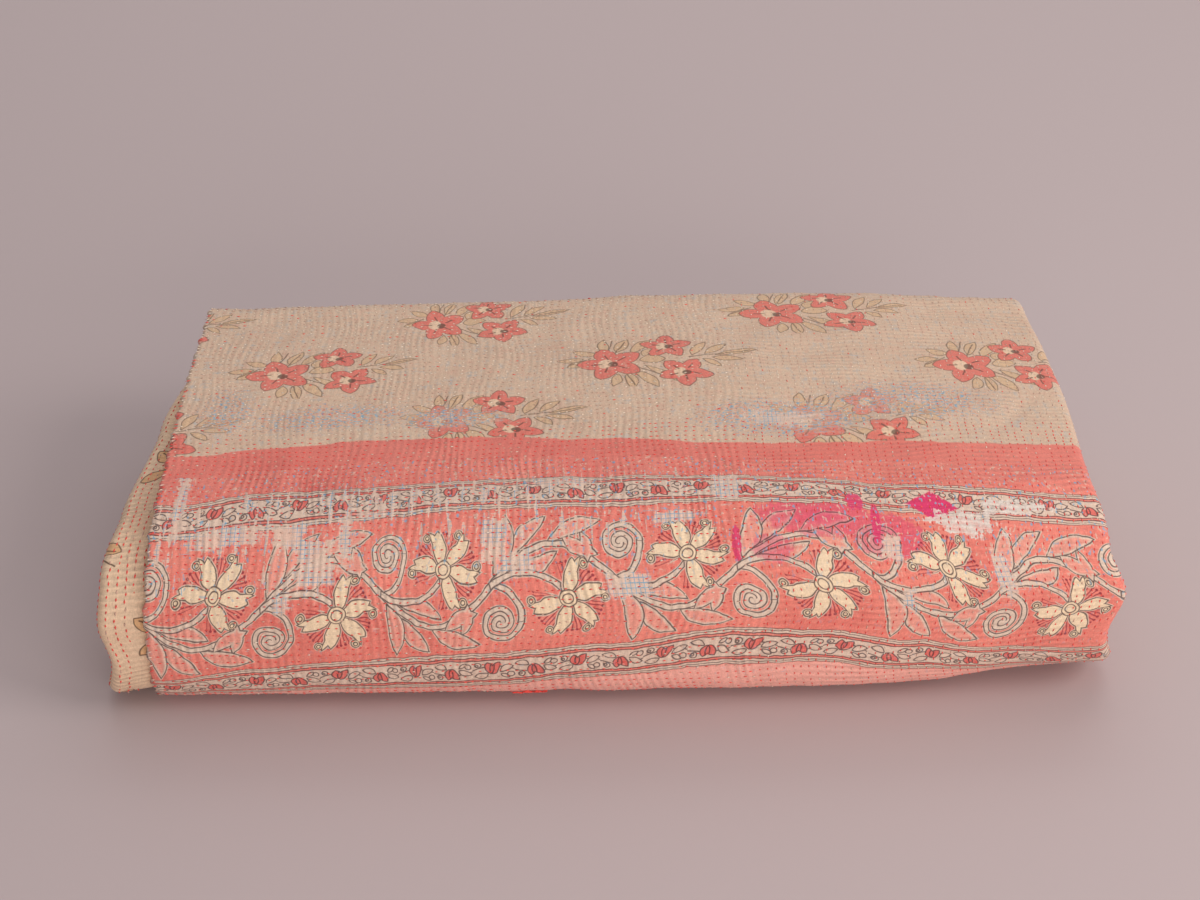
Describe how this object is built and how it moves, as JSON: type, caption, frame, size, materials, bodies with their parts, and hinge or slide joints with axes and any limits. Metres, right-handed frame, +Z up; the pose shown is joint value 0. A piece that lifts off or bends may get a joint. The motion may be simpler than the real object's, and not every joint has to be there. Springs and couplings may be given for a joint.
{
  "type": "folded kantha quilt",
  "caption": "Thin stitched cotton quilt folded back and forth along its length and twice across, in a low soft stack that lies flat.",
  "frame": {"origin": "centre of the folded quilt's footprint, on the surface it lies on", "axes": "X along the folded quilt, left to right; Y from its front fold to its back folds; Z up through the layers"},
  "size_m": [0.5648, 0.3006, 0.118],
  "materials": {
    "printed_cotton": "old soft printed cotton, coral and cream, matt, covered in running stitch"
  },
  "bodies": {
    "root": {"quilt": "printed_cotton"}
  },
  "joints": []
}
